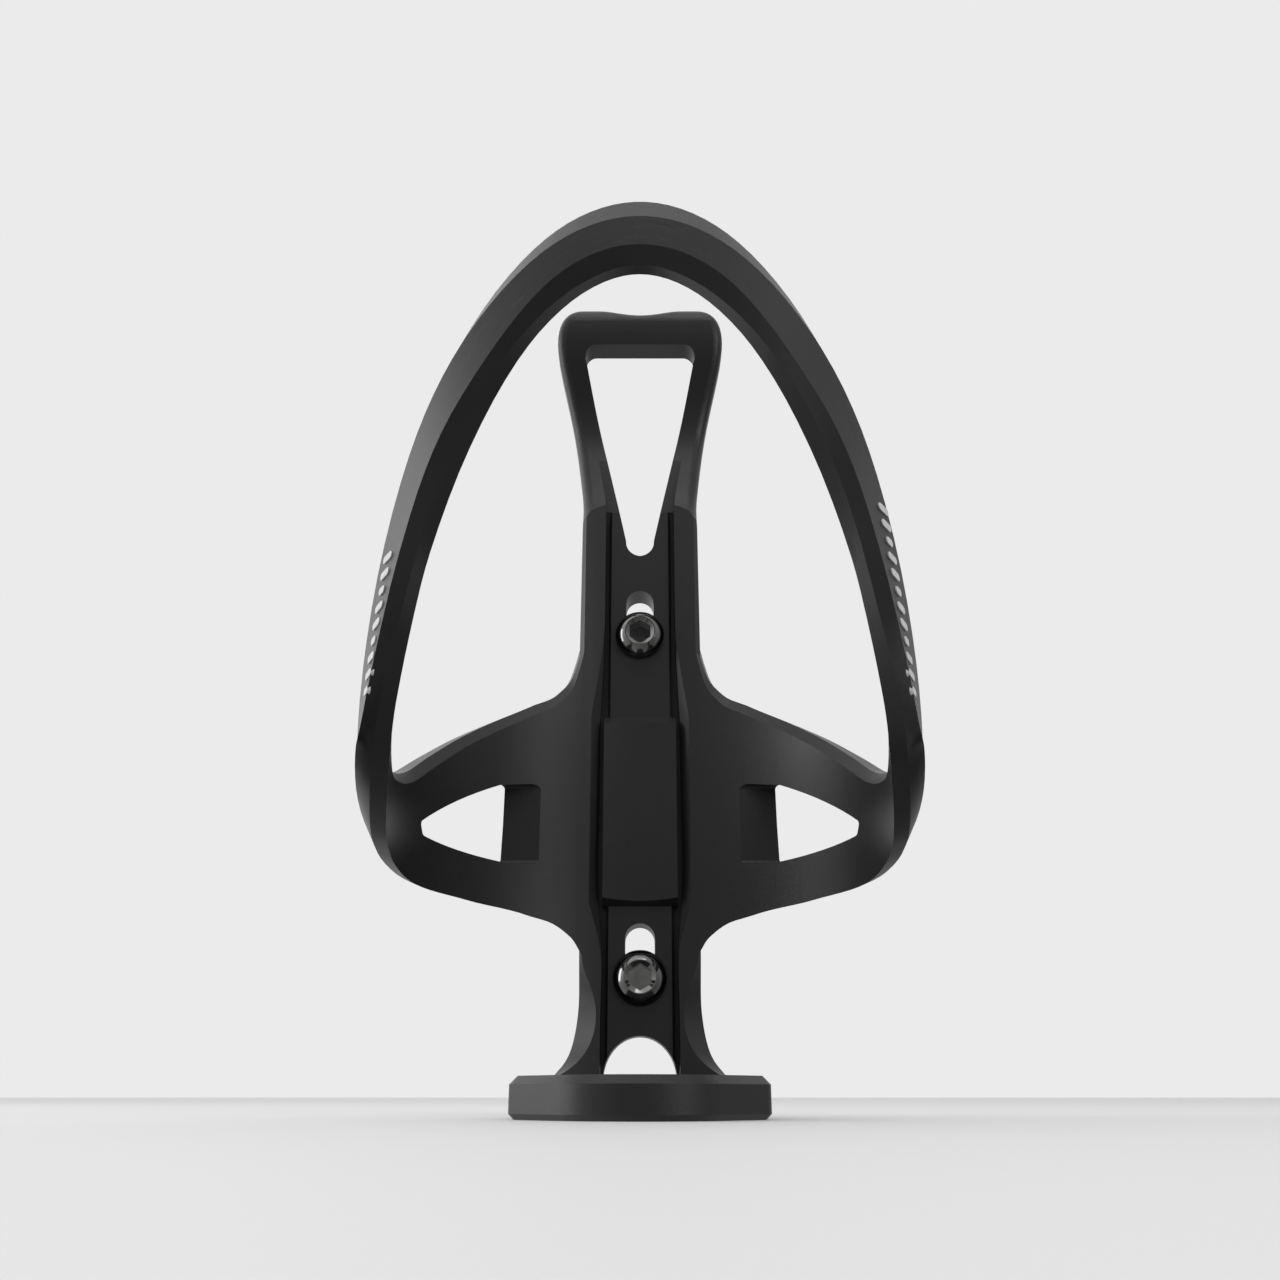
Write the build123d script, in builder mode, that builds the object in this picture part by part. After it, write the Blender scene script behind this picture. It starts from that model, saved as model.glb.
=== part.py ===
"""Water bottle cage: one moulded body, two frame bolts and raised marks on its flanks.

Frame: the origin is on the bottle's axis at the underside of the foot shelf, +Z runs up the
bottle, +Y points back to the bicycle's tube, and the hoop passes in front at -Y. Millimetres.
"""

import math
import os

from build123d import *

# Bottle and shell
BOTTLE_R = 37.5  # inner face of the wings and hoop, for a 74 mm bottle
SHELL_R = 42.4  # outer face of the hoop
WING_R = 41.2  # outer face of the wings beside the spine
BEVEL_R = 40.0  # inner end of the long bevel along the shell's lower edge
SPARE = 1.5  # depth left inside the inner face, which the bottle's cylinder then cuts away
BEVEL_RUN = 0.6  # radial run of the inner top bevel for each millimetre that it drops
STATIONS = 160  # points along each long edge of the shell
FIRST_ANGLE = 14.0  # where the shell starts inside the spine, measured from the back

# Spine, seen from the front
BACK_Y = 44.8  # face that sits on the bicycle's tube
PLATE_Y = 38.5  # front of the middle plate, under the bolt heads
GROOVE_Y = 40.4  # floor of the grooves beside the plate, and back end of the pad
PLATE_HALF = 6.0
PLATE_EDGE = 0.4  # bevel along the plate's sides
RAIL_HALF = 11.35
RAIL_FRONT_Y = 36.3  # front of the rails beside the channel
NECK_HALF = 10.6  # between the wings and the foot
CHANNEL_HALF = 6.75  # away from the pad
CHANNEL_TOP = 113.0
THROAT_LOW = CHANNEL_TOP - 2  # where the throat starts, inside the channel
THROAT_TOP = 131.0  # above the channel, the floor slopes back to here
THROAT_Y = 40.2  # floor at the throat's top
THROAT_MID = (8.3, 124.0)  # half width and height part way up the throat
THROAT_HALF = 9.6  # at the throat's top
HOOK_LOW = 116.0  # above this the tongue may reach inside the bottle's radius
PAD_HALF = 6.7
PAD_FRONT_Y = 36.4
PAD_BACK_Y = GROOVE_Y + 0.5
PAD_LOW = 36.0
PAD_HIGH = 69.0

# Foot shelf
SHELF_H = 6.0
SHELF_HALF = 19.2
SHELF_CORNER_Y = 8.0
SHELF_TIP_Y = -13.0  # where the nose's sides would meet before rounding
SHELF_WAIST_HALF = 18.4
SHELF_WAIST_Y = 18.0
SHELF_BACK_HALF = 16.4
SHELF_TOP_BEVEL = 1.2
SHELF_LOW_BEVEL = 0.8
ARCH_HALF = 6.4
ARCH_TOP = 12.9
ARCH_FRONT_Y = 34.0
ARCH_FLOOR = 5.6  # just below the shelf's top, so the arch's sides start clear of the bottle's face

# Tongue
TONGUE_TOP = 158.6
TONGUE_HALF = 17.2
TONGUE_ROUND = 2.0  # rounding of the tongue's front rim

# Cutting solids
CUT_FRONT_Y = 30.0  # in front of the spine and inside the bottle's radius
CUT_SIDE_X = 24.0  # outside the spine
CUT_LENGTH = 60.0  # passes right through the body

# Bolts and slots
BOLT_SPACING = 64.0  # the standard spacing of frame bosses
LOWER_BOLT_Z = 22.5
UPPER_BOLT_Z = LOWER_BOLT_Z + BOLT_SPACING
BOLT_R = 2.5
SHANK_R = 2.2  # plain shank inside the slot
THREAD_START_Y = BACK_Y + 0.1
BOLT_LENGTH = 12.0
BOLT_CHAMFER = 0.6
HEAD_R = 4.75
HEAD_H = 2.75
HEAD_FLAT_R = 2.9
HEAD_EDGE = 0.35  # straight edge round the head's seat
HEAD_EDGE_BEVEL = 0.15
HEAD_ROUND = (4.2, 1.55)  # radius and height above the seat of a point on the head's rounded side
SOCKET_FLATS = 4.0
SOCKET_DEPTH = 2.0
SOCKET_SINK = 0.5  # depth of the cone round the socket's mouth
SOCKET_RIM = 0.15  # flat ring outside that cone
HEAD_GAP = 0.05  # keeps the head just clear of the plate it slides on
SLOT_R = 2.65
SLOT_TRAVEL = 6.7

# Raised marks
MARK_R_IN = 42.0
MARK_R_OUT = 42.5
MARK_W = 1.1
MARK_LENGTHS = (3.2, 3.2, 2.2)
MARK_DROP = 2.3  # from one bar down to the next
MARK_TURN = 0.95  # degrees from one bar back to the next
MARK_SLANT = 20.0

os.makedirs("parts", exist_ok=True)


def smooth(angle, knots):
    """Height at an angle on a smooth curve through (angle, height) knots, level at the last."""
    places = [knot[0] for knot in knots]
    heights = [knot[1] for knot in knots]
    last = len(knots) - 1
    i = max(k for k in range(last) if places[k] <= angle)

    def secant(k):
        return (heights[k + 1] - heights[k]) / (places[k + 1] - places[k])

    def slope(k):
        if k == 0:
            return secant(0)
        if k == last:
            return 0.0
        before, after = places[k] - places[k - 1], places[k + 1] - places[k]
        return (after * secant(k - 1) + before * secant(k)) / (before + after)

    span = places[i + 1] - places[i]
    t = (angle - places[i]) / span
    rise = heights[i + 1] - heights[i]
    start, end = slope(i) * span, slope(i + 1) * span
    return heights[i] + t * (start + t * (3 * rise - 2 * start - end + t * (start + end - 2 * rise)))


def skin(rows):
    """A solid whose long faces are ruled between smooth edges, one through each corner of the rows."""
    corners = range(len(rows[0]))
    edges = [Edge.make_spline([row[k] for row in rows]) for k in corners]
    faces = [Face.make_surface_from_curves(edges[k - 1], edges[k]) for k in corners]
    ends = [Face(Wire.make_polygon(row)) for row in (rows[0], rows[-1])]
    return Solid(Shell(faces + ends))


# Edges of the shell as (angle from the back, height), from the spine round to the hoop's apex.
TOP_EDGE = [(13, 95), (15.5, 87), (17.7, 80.4), (19.5, 76.9), (22.6, 74.1), (31, 70.5), (42, 66.3),
            (53, 61.8), (66, 56), (76, 51.9), (84, 50.3), (92, 50.4), (98, 54), (106, 63.8), (118, 80.1),
            (132, 97.2), (150, 111.8), (166, 120), (180, 122.4)]
OUTER_EDGE = [(13, 30), (18, 34), (25, 38), (45, 40), (84, 41.5), (94, 45.3), (104, 50), (112, 52.5),
              (118.4, 60.2), (126, 72), (135, 85), (149, 98.2), (165, 109.9), (180, 113.5)]
BEVEL_EDGE = [(13, 26), (16, 28), (18, 29.7), (22, 31.6), (31, 33.2), (50, 34.5), (76, 36.2), (86, 38),
              (93, 40.2), (99, 44.5), (104, 50.5), (112, 57), (122, 66), (131, 79), (140, 90), (155, 102.4),
              (168, 109.3), (180, 111.9)]
INNER_EDGE = [(13, 25), (15.7, 26.2), (17.4, 28), (21.6, 30.4), (31, 32.3), (50, 33.7), (80, 35.5),
              (89, 37.4), (96, 40.2), (101, 45), (105, 52), (112, 58.4), (125, 73.2), (140, 89.3),
              (158, 104.7), (168, 109.8),
              (180, 112.2)]
# Sizes that change along the shell, as (angle, millimetres).
OUTER_RADIUS = [(13, WING_R), (40, WING_R), (70, 41.7), (100, SHELL_R), (130, SHELL_R), (180, SHELL_R)]
TOP_INNER_BEVEL = [(13, 2), (50, 2), (74, 1.9), (90, 1.3), (106, 0.7), (130, 0.6), (180, 0.6)]
TOP_OUTER_BEVEL = [(13, 0.5), (50, 0.5), (74, 0.7), (90, 1.2), (106, 1.8), (130, 1.9), (180, 1.9)]
TOP_BEVEL_DROP = [(13, 0.5), (50, 0.5), (74, 0.9), (90, 2.3), (106, 3.8), (130, 4.1), (180, 4.1)]


def shell_section(angle):
    """The shell's section at an angle from the back, as (radius, height) corners."""
    radius = smooth(angle, OUTER_RADIUS)
    top = smooth(angle, TOP_EDGE)
    inner_bevel = smooth(angle, TOP_INNER_BEVEL)
    inner_low = smooth(angle, INNER_EDGE)
    bevel_low = smooth(angle, BEVEL_EDGE)
    low_slope = (inner_low - bevel_low) / (BEVEL_R - BOTTLE_R)
    return [
        (BOTTLE_R - SPARE, inner_low + low_slope * SPARE),
        (BOTTLE_R - SPARE, top - inner_bevel - SPARE / BEVEL_RUN),
        (BOTTLE_R + inner_bevel * BEVEL_RUN, top),
        (radius - smooth(angle, TOP_OUTER_BEVEL), top),
        (radius, top - smooth(angle, TOP_BEVEL_DROP)),
        (radius, smooth(angle, OUTER_EDGE)),
        (BEVEL_R, bevel_low),
    ]


def shell_row(turn):
    """The shell's section at a turn from the back towards -X, as points in space."""
    across, along = -math.sin(math.radians(turn)), math.cos(math.radians(turn))
    return [(radius * across, radius * along, z) for radius, z in shell_section(min(turn, 360 - turn))]


with BuildPart() as shell:
    add(skin([shell_row(FIRST_ANGLE + k * (360 - 2 * FIRST_ANGLE) / STATIONS) for k in range(STATIONS + 1)]))

# Side view of the wing windows, cut straight through both wings.
with BuildPart() as windows:
    with BuildSketch(Plane.YZ):
        with BuildLine():
            Polyline(
                (33.0, 55.8), (28.3, 54.4), (12.7, 44.5), (13.6, 42.5), (28.8, 41.0), (33.0, 41.4),
                close=True,
            )
        make_face()
        fillet(vertices().filter_by(lambda v: v.Y > 32.9), radius=0.8)
        fillet(vertices().filter_by(lambda v: v.Y < 14.0), radius=1.3)
        fillet(vertices().filter_by(lambda v: 28.0 < v.Y < 29.0), radius=8)
    extrude(amount=CUT_LENGTH, both=True)

# Front view of the spine and tongue.
with BuildPart() as spine_front:
    with BuildSketch(Plane.XZ):
        with BuildLine():
            base = Line((14.0, 0.0), (14.0, SHELF_H - 2))
            step = Line(base @ 1, (15.0, SHELF_H - 0.6))
            foot = Spline(
                step @ 1, (14.1, 6.9), (13.1, 8.1), (11.6, 11.4), (10.7, 17.0), (NECK_HALF, 24.0),
                tangents=((-0.5, 1), (0, 1)),
            )
            waist = Spline(foot @ 1, (RAIL_HALF, 60.0), (RAIL_HALF, 112.0), tangents=((0, 1), (0, 1)))
            side = Spline(
                waist @ 1, (12.05, 121.0), (14.1, 135.0), (16.4, 145.0), (TONGUE_HALF, 151.0),
                (15.9, 155.8), (12.6, TONGUE_TOP - 0.25), (9.5, TONGUE_TOP), (0.0, TONGUE_TOP - 1.8),
                tangents=((0, 1), (-1, 0)),
            )
            Line(side @ 1, (0, 0))
            Line((0, 0), base @ 0)
        make_face()
        mirror(about=Plane.YZ)
    extrude(amount=-CUT_LENGTH)

# Side view of the spine and tongue: the tongue leans back, then hooks forward over the bottle.
with BuildPart() as spine:
    with BuildSketch(Plane.YZ):
        with BuildLine():
            face = Line((34.0, 0), (34.0, 104.0))
            hook = Spline(
                face @ 1, (36.9, 114.0), (39.4, 124.0), (40.3, 132.0), (37.6, 141.0), (33.4, 149.5),
                (32.3, 154.5), tangents=((0, 1), (-0.05, 1)),
            )
            crown = ThreePointArc(hook @ 1, (33.6, 157.7), (36.4, TONGUE_TOP + 0.3))
            nape = Spline(
                crown @ 1, (38.2, 150.5), (41.6, 141.5), (44.2, 132.5), (BACK_Y, 123.0),
                tangents=((0.15, -1), (0, -1)),
            )
            Line(nape @ 1, (BACK_Y, 0))
            Line((BACK_Y, 0), face @ 0)
        make_face()
    extrude(amount=30, both=True)
    add(spine_front.part, mode=Mode.INTERSECT)
    boxes = [(edge, edge.bounding_box()) for edge in edges().filter_by(GeomType.BSPLINE)]
    rim = [edge for edge, box in boxes if box.max.Z > 150 and box.max.Y < 41 and box.size.X > 1]
    fillet(rim, radius=TONGUE_ROUND)

# Front view of the window in the tongue.
with BuildPart() as tongue_window:
    with BuildSketch(Plane.XZ):
        with BuildLine():
            right = Line((2.75, 106.6), (11.1, 146.0))
            corner = RadiusArc(right @ 1, (9.0, 149.4), -2.3)
            Line(corner @ 1, (0, 149.4))
            Line((0, 149.4), (0, 103.4))
            RadiusArc((0, 103.4), right @ 0, -3.0)
        make_face()
        mirror(about=Plane.YZ)
    extrude(amount=-CUT_LENGTH)

# The channel between the rails as (height, half width, bevel of the rails, y of the groove's floor):
# widest beside the pad, with grooves that run out at the top.
CHANNEL = [(SHELF_H, CHANNEL_HALF, 0.5, GROOVE_Y), (20, CHANNEL_HALF, 0.5, GROOVE_Y),
           (28, 6.8, 0.8, GROOVE_Y), (36, 7.5, 1.8, GROOVE_Y), (52, 7.6, 2.0, GROOVE_Y),
           (68, 7.5, 1.8, GROOVE_Y), (80, 6.95, 1.0, GROOVE_Y), (92, CHANNEL_HALF, 0.5, GROOVE_Y),
           (104, CHANNEL_HALF, 0.5, 40.1), (CHANNEL_TOP, CHANNEL_HALF, 0.5, 38.7)]


def channel_row(height, half, bevel, floor):
    """The channel's section at a height, for its +X half."""
    outline = [
        (0, CUT_FRONT_Y), (half + bevel, CUT_FRONT_Y), (half + bevel, RAIL_FRONT_Y),
        (half, RAIL_FRONT_Y + bevel), (half, floor), (0, floor),
    ]
    return [(x, y, height) for x, y in outline]


with BuildPart() as channel:
    add(skin([channel_row(*row) for row in CHANNEL]))
    with BuildSketch(Plane.XY):
        with BuildLine():
            Polyline(
                (0, PLATE_Y), (PLATE_HALF - PLATE_EDGE, PLATE_Y), (PLATE_HALF, PLATE_Y + PLATE_EDGE),
                (PLATE_HALF, BACK_Y), (0, BACK_Y), close=True,
            )
        make_face()
    extrude(amount=CHANNEL_TOP, mode=Mode.SUBTRACT)
    mirror(about=Plane.YZ)

# Front view of the throat, which widens beside the window.
with BuildPart() as throat_front:
    with BuildSketch(Plane.XZ):
        with BuildLine():
            edge = Spline(
                (CHANNEL_HALF, THROAT_LOW), THROAT_MID, (THROAT_HALF, THROAT_TOP),
                tangents=((0, 1), (0.25, 1)),
            )
            Polyline(edge @ 1, (0, THROAT_TOP), (0, THROAT_LOW), edge @ 0)
        make_face()
        mirror(about=Plane.YZ)
    extrude(amount=-CUT_LENGTH)

# Side view of the throat: above the channel its floor slopes back.
with BuildPart() as throat:
    with BuildSketch(Plane.YZ):
        with BuildLine():
            Polyline(
                (CUT_FRONT_Y, THROAT_LOW), (PLATE_Y, THROAT_LOW), (PLATE_Y, CHANNEL_TOP),
                (THROAT_Y, THROAT_TOP), (CUT_FRONT_Y, THROAT_TOP), close=True,
            )
        make_face()
    extrude(amount=CUT_LENGTH, both=True)
    add(throat_front.part, mode=Mode.INTERSECT)

# The bevel along the outer side of each rail as (height, where it starts, x and y that it runs to):
# wide at the neck above the foot, narrow from the wings up.
RAIL_BEVELS = [(5.5, 15.2, 17.5, 38.6), (7, 12.6, 15.5, 38.8), (9.4, 9.8, 13.6, 39.2), (12, 8.3, 12.4, 39.6),
               (15, 7.6, 11.7, 39.9), (18.5, 7.8, 11.5, 39.7), (21.5, 8.8, 11.4, 39.2),
               (24, 9.8, 11.6, 38.6), (28, 10.3, 11.9, 38.1), (40, 10.4, 12, 37.8),
               (60, 10.5, 12.1, 37.8), (80, 10.6, 12.2, 37.8),
               (100, 10.6, 12.2, 37.8), (122, 10.7, 12.4, 38)]


def bevel_row(height, start, end, end_y):
    """The section that is cut from a rail's outer side at a height, for +X."""
    start_y = math.sqrt(BOTTLE_R**2 - start**2)
    outline = [
        (start, CUT_FRONT_Y), (start, start_y), (end, end_y), (CUT_SIDE_X, end_y),
        (CUT_SIDE_X, CUT_FRONT_Y),
    ]
    return [(x, y, height) for x, y in outline]


with BuildPart() as rail_bevels:
    add(skin([bevel_row(*row) for row in RAIL_BEVELS]))
    mirror(about=Plane.YZ)

with BuildPart() as arch:
    with BuildSketch(Plane.XZ.offset(-ARCH_FRONT_Y)):
        with Locations((0, ARCH_FLOOR)):
            Ellipse(ARCH_HALF, ARCH_TOP - ARCH_FLOOR)
            Rectangle(CUT_LENGTH, CUT_LENGTH, align=(Align.CENTER, Align.MAX), mode=Mode.SUBTRACT)
    extrude(amount=-CUT_LENGTH)

# The pad that the bottle rests on between the wings, with sloping ends.
with BuildPart() as pad:
    with BuildSketch(Plane.YZ):
        with BuildLine():
            Polyline(
                (PAD_BACK_Y, PAD_LOW - 1.2), (PLATE_Y, PAD_LOW - 1.2), (PAD_FRONT_Y, PAD_LOW + 0.6),
                (PAD_FRONT_Y, PAD_HIGH - 1.2), (PLATE_Y, PAD_HIGH + 0.9), (PAD_BACK_Y, PAD_HIGH + 0.9),
                close=True,
            )
        make_face()
    extrude(amount=PAD_HALF, both=True)

# The shelf that the bottle stands on: a rounded nose in front, tapering back to the spine.
with BuildPart() as shelf:
    with BuildSketch():
        with BuildLine():
            Polyline(
                (0, SHELF_TIP_Y), (SHELF_HALF, SHELF_CORNER_Y), (SHELF_WAIST_HALF, SHELF_WAIST_Y),
                (SHELF_BACK_HALF, BACK_Y), (-SHELF_BACK_HALF, BACK_Y), (-SHELF_WAIST_HALF, SHELF_WAIST_Y),
                (-SHELF_HALF, SHELF_CORNER_Y), close=True,
            )
        make_face()
        fillet(vertices().filter_by(lambda v: abs(v.Y - SHELF_CORNER_Y) < 0.01), radius=2.2)
        fillet(vertices().filter_by(lambda v: abs(v.Y - SHELF_WAIST_Y) < 0.01), radius=20)
        fillet(vertices().sort_by(Axis.Y)[0], radius=15)
    extrude(amount=SHELF_H)
    for level, bevel in ((-1, SHELF_TOP_BEVEL), (0, SHELF_LOW_BEVEL)):
        outline = faces().sort_by(Axis.Z)[level].edges()
        chamfer(outline.filter_by(lambda e: e.center().Y < BACK_Y - 0.1), length=bevel)

# The space of the bottle, which stops below the tongue's hook at the back.
with BuildPart() as bottle:
    with Locations((0, 0, SHELF_H)):
        Cylinder(BOTTLE_R, 130, align=(Align.CENTER, Align.CENTER, Align.MIN))
    with Locations((0, 0, HOOK_LOW)):
        Box(100, 60, 60, align=(Align.CENTER, Align.MIN, Align.MIN), mode=Mode.SUBTRACT)

with BuildPart() as cage_body:
    add(spine.part)
    add(channel.part, mode=Mode.SUBTRACT)
    add(throat.part, mode=Mode.SUBTRACT)
    add(rail_bevels.part, mode=Mode.SUBTRACT)
    add(pad.part)
    add(shell.part)
    add(bottle.part, mode=Mode.SUBTRACT)
    add(windows.part, mode=Mode.SUBTRACT)
    add(tongue_window.part, mode=Mode.SUBTRACT)
    add(shelf.part)
    add(arch.part, mode=Mode.SUBTRACT)
    for bolt_z in (LOWER_BOLT_Z, UPPER_BOLT_Z):
        with BuildSketch(Plane.XZ):
            with Locations((0, bolt_z + SLOT_TRAVEL / 2)):
                SlotCenterToCenter(SLOT_TRAVEL, 2 * SLOT_R, rotation=90)
        extrude(amount=-CUT_LENGTH, mode=Mode.SUBTRACT)


def frame_bolt(height):
    """An M5 button-head bolt along +Y, its head in front of the plate."""
    seat = PLATE_Y - HEAD_GAP
    with BuildPart() as bolt:
        with BuildSketch(Plane.XY.offset(height)):
            with BuildLine():
                Polyline(
                    (0, seat - HEAD_H + SOCKET_SINK), (SOCKET_FLATS / 2, seat - HEAD_H + SOCKET_SINK),
                    (HEAD_FLAT_R - SOCKET_RIM, seat - HEAD_H), (HEAD_FLAT_R, seat - HEAD_H),
                )
                ThreePointArc(
                    (HEAD_FLAT_R, seat - HEAD_H), (HEAD_ROUND[0], seat - HEAD_ROUND[1]),
                    (HEAD_R, seat - HEAD_EDGE),
                )
                Polyline(
                    (HEAD_R, seat - HEAD_EDGE), (HEAD_R - HEAD_EDGE_BEVEL, seat), (SHANK_R, seat),
                    (SHANK_R, THREAD_START_Y), (BOLT_R, THREAD_START_Y),
                    (BOLT_R, seat + BOLT_LENGTH - BOLT_CHAMFER),
                    (BOLT_R - BOLT_CHAMFER, seat + BOLT_LENGTH),
                    (0, seat + BOLT_LENGTH), (0, seat - HEAD_H + SOCKET_SINK),
                )
            make_face()
        revolve(axis=Axis((0, 0, height), (0, 1, 0)))
        with BuildSketch(Plane.XZ.offset(-(seat - HEAD_H))):
            with Locations((0, height)):
                RegularPolygon(SOCKET_FLATS / 2, 6, major_radius=False, rotation=30)
        extrude(amount=-SOCKET_DEPTH, mode=Mode.SUBTRACT)
    return bolt.part


def side_marks(side, count, top):
    """A row of slanted bars down the hoop's flank; side is -1 for left and 1 for right."""
    lean = math.atan2(math.radians(MARK_TURN) * SHELL_R, MARK_DROP)
    with BuildPart() as marks:
        for i in range(count):
            angle = math.radians(top[0] - i * MARK_TURN)
            outward = (side * math.sin(angle), math.cos(angle), 0)
            forward = (side * math.cos(angle), -math.sin(angle), 0)
            place = Plane(
                origin=(outward[0] * MARK_R_IN, outward[1] * MARK_R_IN, top[1] - i * MARK_DROP),
                x_dir=forward,
                z_dir=outward,
            )
            slant = side * (math.degrees(lean) - MARK_SLANT)
            with BuildSketch(place):
                SlotOverall(MARK_LENGTHS[i % len(MARK_LENGTHS)], MARK_W, rotation=slant)
            extrude(amount=2, both=True)
        with BuildSketch():
            Circle(MARK_R_OUT)
            Circle(MARK_R_IN, mode=Mode.SUBTRACT)
        extrude(amount=TONGUE_TOP, mode=Mode.INTERSECT)
    return marks.part


pieces = {
    "cage_body": cage_body.part,
    "lower_bolt": frame_bolt(LOWER_BOLT_Z),
    "upper_bolt": frame_bolt(UPPER_BOLT_Z),
    "left_side_marks": side_marks(-1, 9, (121.9, 75.0)),
    "right_side_marks": side_marks(1, 12, (124.7, 81.8)),
}
for name, piece in pieces.items():
    piece.label = name
    export_step(piece, f"parts/{name}.step")
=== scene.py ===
"""Water bottle cage on a plain pale floor: materials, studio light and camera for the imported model."""

import math

import bmesh
import bpy
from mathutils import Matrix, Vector

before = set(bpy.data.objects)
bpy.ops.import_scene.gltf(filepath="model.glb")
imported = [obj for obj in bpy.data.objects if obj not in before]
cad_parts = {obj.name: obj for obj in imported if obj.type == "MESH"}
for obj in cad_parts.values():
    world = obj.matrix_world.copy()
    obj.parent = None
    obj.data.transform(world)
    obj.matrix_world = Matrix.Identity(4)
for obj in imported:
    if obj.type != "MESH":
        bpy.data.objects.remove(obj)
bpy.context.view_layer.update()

MM = 0.001

# Camera, in millimetres and degrees, in front of the cage and level with its foot shelf
CAMERA_AT = (0.0, -178.6, 3.1)
CAMERA_PITCH = 20.8
LENS_MM = 33.83
SENSOR_MM = 36.0

# Floor and studio
FLOOR_HALF = 6.0  # metres
FLOOR_TONE = 0.7
FLOOR_ROUGHNESS = 0.7
FLOOR_SPECULAR = 0.2
BACKDROP_TONE = 0.83  # what the camera sees behind the object
STUDIO_LOW, STUDIO_HIGH = 0.38, 0.96  # light from straight below and from overhead
STUDIO_LEFT, STUDIO_RIGHT = 1.7, 0.78  # how much brighter or darker each side is
STUDIO_FRONT, STUDIO_BACK = 0.42, 1.15

# Area lights as (name, place, width and height, watts), in millimetres
SOFTBOXES = (
    ("key", (-560, 40, 160), (260, 420), 1.1),
    ("fill", (420, -380, 200), (220, 300), 0.8),
    ("top", (60, -260, 620), (300, 200), 0.4),
)
LIGHTS_AIM = (0, 0, 80)  # on the bottle's axis, half way up the cage

# Colours as the dark and pale ends of each material
PLASTIC_DARK, PLASTIC_PALE = (0.0100, 0.0100, 0.0104, 1), (0.0128, 0.0127, 0.0129, 1)
CHROME_DARK, CHROME_PALE = (0.2, 0.197, 0.193, 1), (0.3, 0.295, 0.29, 1)
INK_DARK, INK_PALE = (0.62, 0.62, 0.62, 1), (0.8, 0.8, 0.8, 1)
PLASTIC_IOR = 1.5


class Nodes:
    """A material's node tree, with short calls to add and join nodes."""

    def __init__(self, name):
        self.material = bpy.data.materials.new(name)
        self.material.use_nodes = True
        self.tree = self.material.node_tree
        self.shader = self.tree.nodes["Principled BSDF"]

    def add(self, kind, **settings):
        node = self.tree.nodes.new("ShaderNode" + kind)
        for key, value in settings.items():
            if hasattr(node, key):
                setattr(node, key, value)
            else:
                node.inputs[key.replace("_", " ")].default_value = value
        return node

    def join(self, source, target):
        self.tree.links.new(source, target)

    def coordinates(self, scale=(1, 1, 1)):
        """Object coordinates in metres, scaled along each axis."""
        place = self.add("Mapping")
        place.inputs["Scale"].default_value = scale
        self.join(self.add("TexCoord").outputs["Object"], place.inputs["Vector"])
        return place.outputs["Vector"]

    def noise(self, where, scale, detail, roughness):
        node = self.add("TexNoise", Scale=scale, Detail=detail, Roughness=roughness)
        self.join(where, node.inputs["Vector"])
        return node.outputs["Fac"]

    def spread(self, value, low, high, start=0.3, end=0.7):
        """value from start..end mapped onto low..high."""
        node = self.add("MapRange")
        node.inputs["From Min"].default_value = start
        node.inputs["From Max"].default_value = end
        node.inputs["To Min"].default_value = low
        node.inputs["To Max"].default_value = high
        self.join(value, node.inputs["Value"])
        return node.outputs["Result"]

    def tint(self, value, start, dark, end, pale):
        """Colours the surface from dark to pale as value goes from start to end."""
        ramp = self.add("ValToRGB")
        for stop, place, colour in zip(ramp.color_ramp.elements, (start, end), (dark, pale)):
            stop.position = place
            stop.color = colour
        self.join(value, ramp.inputs["Fac"])
        self.join(ramp.outputs["Color"], self.shader.inputs["Base Color"])

    def bump(self, height, strength, distance, under=None):
        node = self.add("Bump", Strength=strength, Distance=distance)
        self.join(height, node.inputs["Height"])
        if under is not None:
            self.join(under, node.inputs["Normal"])
        return node.outputs["Normal"]


def moulded_plastic():
    """Black satin-matte plastic with a very fine grain and faint handling marks."""
    n = Nodes("black_plastic")
    where = n.coordinates()
    grain = n.noise(where, scale=5200.0, detail=2.0, roughness=0.6)
    flow = n.noise(n.coordinates((1.0, 1.0, 0.35)), scale=45.0, detail=4.0, roughness=0.55)
    handling = n.noise(where, scale=16.0, detail=5.0, roughness=0.6)

    n.tint(flow, start=0.3, dark=PLASTIC_DARK, end=0.72, pale=PLASTIC_PALE)

    rough = n.add("Math", operation="ADD")
    n.join(n.spread(handling, low=0.40, high=0.48), rough.inputs[0])
    n.join(n.spread(grain, low=-0.02, high=0.02), rough.inputs[1])
    n.join(rough.outputs["Value"], n.shader.inputs["Roughness"])

    fine = n.bump(grain, strength=0.35, distance=0.00006)
    n.join(n.bump(flow, strength=0.12, distance=0.0002, under=fine), n.shader.inputs["Normal"])
    n.shader.inputs["IOR"].default_value = PLASTIC_IOR
    return n.material


def dark_chrome():
    """Dark polished steel with fine turning marks round the bolt's axis."""
    n = Nodes("dark_chrome")
    smear = n.noise(n.coordinates(), scale=260.0, detail=4.0, roughness=0.6)
    turned = n.noise(n.coordinates((1.0, 0.04, 1.0)), scale=2600.0, detail=2.0, roughness=0.5)
    n.tint(smear, start=0.35, dark=CHROME_DARK, end=0.7, pale=CHROME_PALE)
    n.join(n.spread(smear, low=0.08, high=0.16), n.shader.inputs["Roughness"])
    n.join(n.bump(turned, strength=0.08, distance=0.00004), n.shader.inputs["Normal"])
    n.shader.inputs["Metallic"].default_value = 1.0
    return n.material


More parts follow.
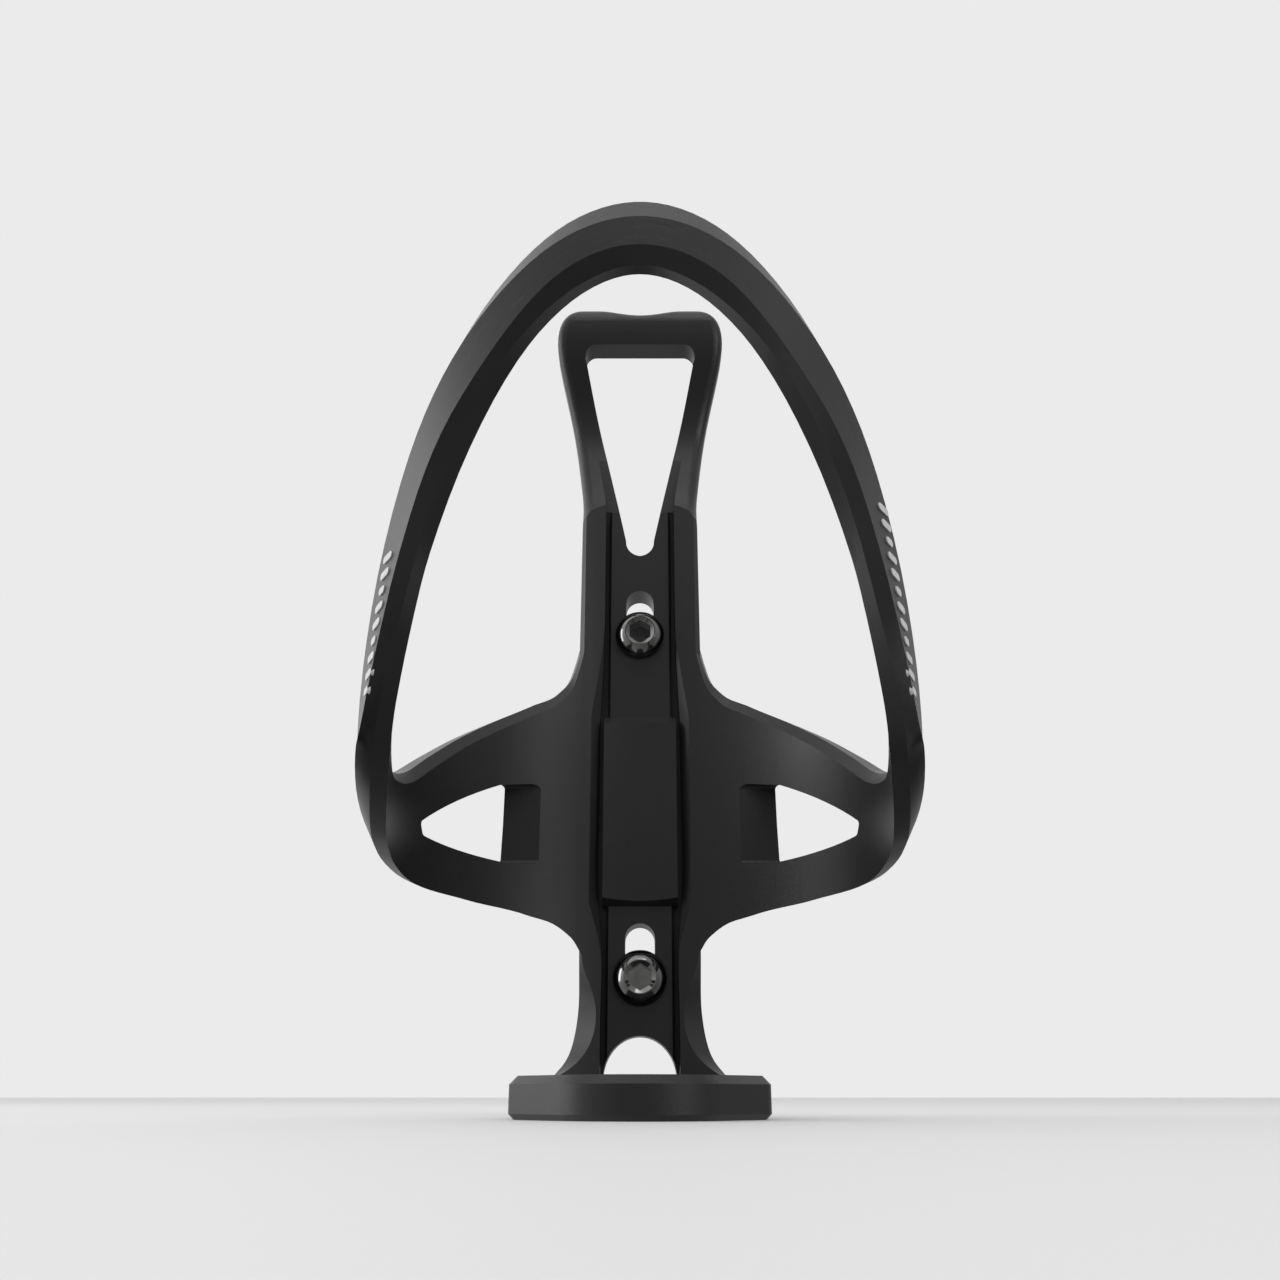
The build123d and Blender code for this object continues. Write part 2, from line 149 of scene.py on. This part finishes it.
def white_ink():
    """Slightly uneven white bars."""
    n = Nodes("white_mark")
    patches = n.noise(n.coordinates(), scale=900.0, detail=4.0, roughness=0.65)
    n.tint(patches, start=0.3, dark=INK_DARK, end=0.6, pale=INK_PALE)
    n.join(n.spread(patches, low=0.45, high=0.6), n.shader.inputs["Roughness"])
    n.join(n.bump(patches, strength=0.15, distance=0.00005), n.shader.inputs["Normal"])
    return n.material


def pale_floor():
    """One plain pale tone, nearly matte."""
    n = Nodes("floor")
    n.shader.inputs["Base Color"].default_value = (FLOOR_TONE, FLOOR_TONE, FLOOR_TONE, 1)
    n.shader.inputs["Roughness"].default_value = FLOOR_ROUGHNESS
    n.shader.inputs["Specular IOR Level"].default_value = FLOOR_SPECULAR
    return n.material


def dress(node, material):
    """Gives every material slot of a CAD node this material."""
    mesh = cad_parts[node].data
    for i in range(len(mesh.materials)):
        mesh.materials[i] = material


def add_floor():
    """A flat square that takes the object's shadow but sends no light back to the object."""
    mesh = bpy.data.meshes.new("floor")
    shape = bmesh.new()
    corners = [(-1, -1), (1, -1), (1, 1), (-1, 1)]
    verts = [shape.verts.new((x * FLOOR_HALF, y * FLOOR_HALF, 0)) for x, y in corners]
    shape.faces.new(verts)
    shape.to_mesh(mesh)
    shape.free()
    floor = bpy.data.objects.new("floor", mesh)
    mesh.materials.append(pale_floor())
    bpy.context.scene.collection.objects.link(floor)
    floor.visible_glossy = False
    floor.visible_diffuse = False


def add_softbox(name, at, size, power):
    """A rectangular area light at a place in millimetres, aimed at LIGHTS_AIM."""
    light = bpy.data.lights.new(name, "AREA")
    light.shape = "RECTANGLE"
    light.size, light.size_y = size[0] * MM, size[1] * MM
    light.energy = power
    lamp = bpy.data.objects.new(name, light)
    lamp.location = Vector(at) * MM
    aimed = (Vector(LIGHTS_AIM) - Vector(at)).to_track_quat("-Z", "Y")
    lamp.rotation_euler = aimed.to_euler()
    bpy.context.scene.collection.objects.link(lamp)


def add_world():
    """A plain backdrop seen by the camera only, and soft light strongest from above, left and behind."""
    world = bpy.data.worlds.new("studio")
    world.use_nodes = True
    tree = world.node_tree
    studio = tree.nodes["Background"]
    backdrop = tree.nodes.new("ShaderNodeBackground")
    backdrop.inputs["Color"].default_value = (BACKDROP_TONE, BACKDROP_TONE, BACKDROP_TONE, 1)

    direction = tree.nodes.new("ShaderNodeSeparateXYZ")
    coordinates = tree.nodes.new("ShaderNodeTexCoord")
    tree.links.new(coordinates.outputs["Generated"], direction.inputs["Vector"])
    parts = []
    for axis, start, end, low, high in (
        ("X", -1.0, 1.0, STUDIO_LEFT, STUDIO_RIGHT),
        ("Y", -1.0, 1.0, STUDIO_FRONT, STUDIO_BACK),
        ("Z", -0.5, 0.9, STUDIO_LOW, STUDIO_HIGH),
    ):
        ramp = tree.nodes.new("ShaderNodeMapRange")
        ramp.interpolation_type = "SMOOTHSTEP"
        limits = (("From Min", start), ("From Max", end), ("To Min", low), ("To Max", high))
        for name, value in limits:
            ramp.inputs[name].default_value = value
        tree.links.new(direction.outputs[axis], ramp.inputs["Value"])
        parts.append(ramp.outputs["Result"])
    strength = parts[0]
    for part in parts[1:]:
        product = tree.nodes.new("ShaderNodeMath")
        product.operation = "MULTIPLY"
        tree.links.new(strength, product.inputs[0])
        tree.links.new(part, product.inputs[1])
        strength = product.outputs["Value"]
    tree.links.new(strength, studio.inputs["Strength"])
    studio.inputs["Color"].default_value = (1, 1, 1, 1)

    seen = tree.nodes.new("ShaderNodeMixShader")
    path = tree.nodes.new("ShaderNodeLightPath")
    tree.links.new(path.outputs["Is Camera Ray"], seen.inputs["Fac"])
    tree.links.new(studio.outputs["Background"], seen.inputs[1])
    tree.links.new(backdrop.outputs["Background"], seen.inputs[2])
    tree.links.new(seen.outputs["Shader"], tree.nodes["World Output"].inputs["Surface"])
    bpy.context.scene.world = world


def add_camera():
    """The camera in front, tilted up towards the tongue."""
    data = bpy.data.cameras.new("camera")
    data.lens = LENS_MM
    data.sensor_width = SENSOR_MM
    data.clip_start = 0.01
    camera = bpy.data.objects.new("camera", data)
    camera.location = Vector(CAMERA_AT) * MM
    camera.rotation_euler = (math.radians(90 + CAMERA_PITCH), 0, 0)
    bpy.context.scene.collection.objects.link(camera)
    bpy.context.scene.camera = camera


dress("cage_body", moulded_plastic())
for bolt in ("upper_bolt", "lower_bolt"):
    dress(bolt, dark_chrome())
for marks in ("left_side_marks", "right_side_marks"):
    dress(marks, white_ink())

add_floor()
add_world()
for softbox in SOFTBOXES:
    add_softbox(*softbox)
bpy.context.scene.view_settings.view_transform = "Standard"
add_camera()
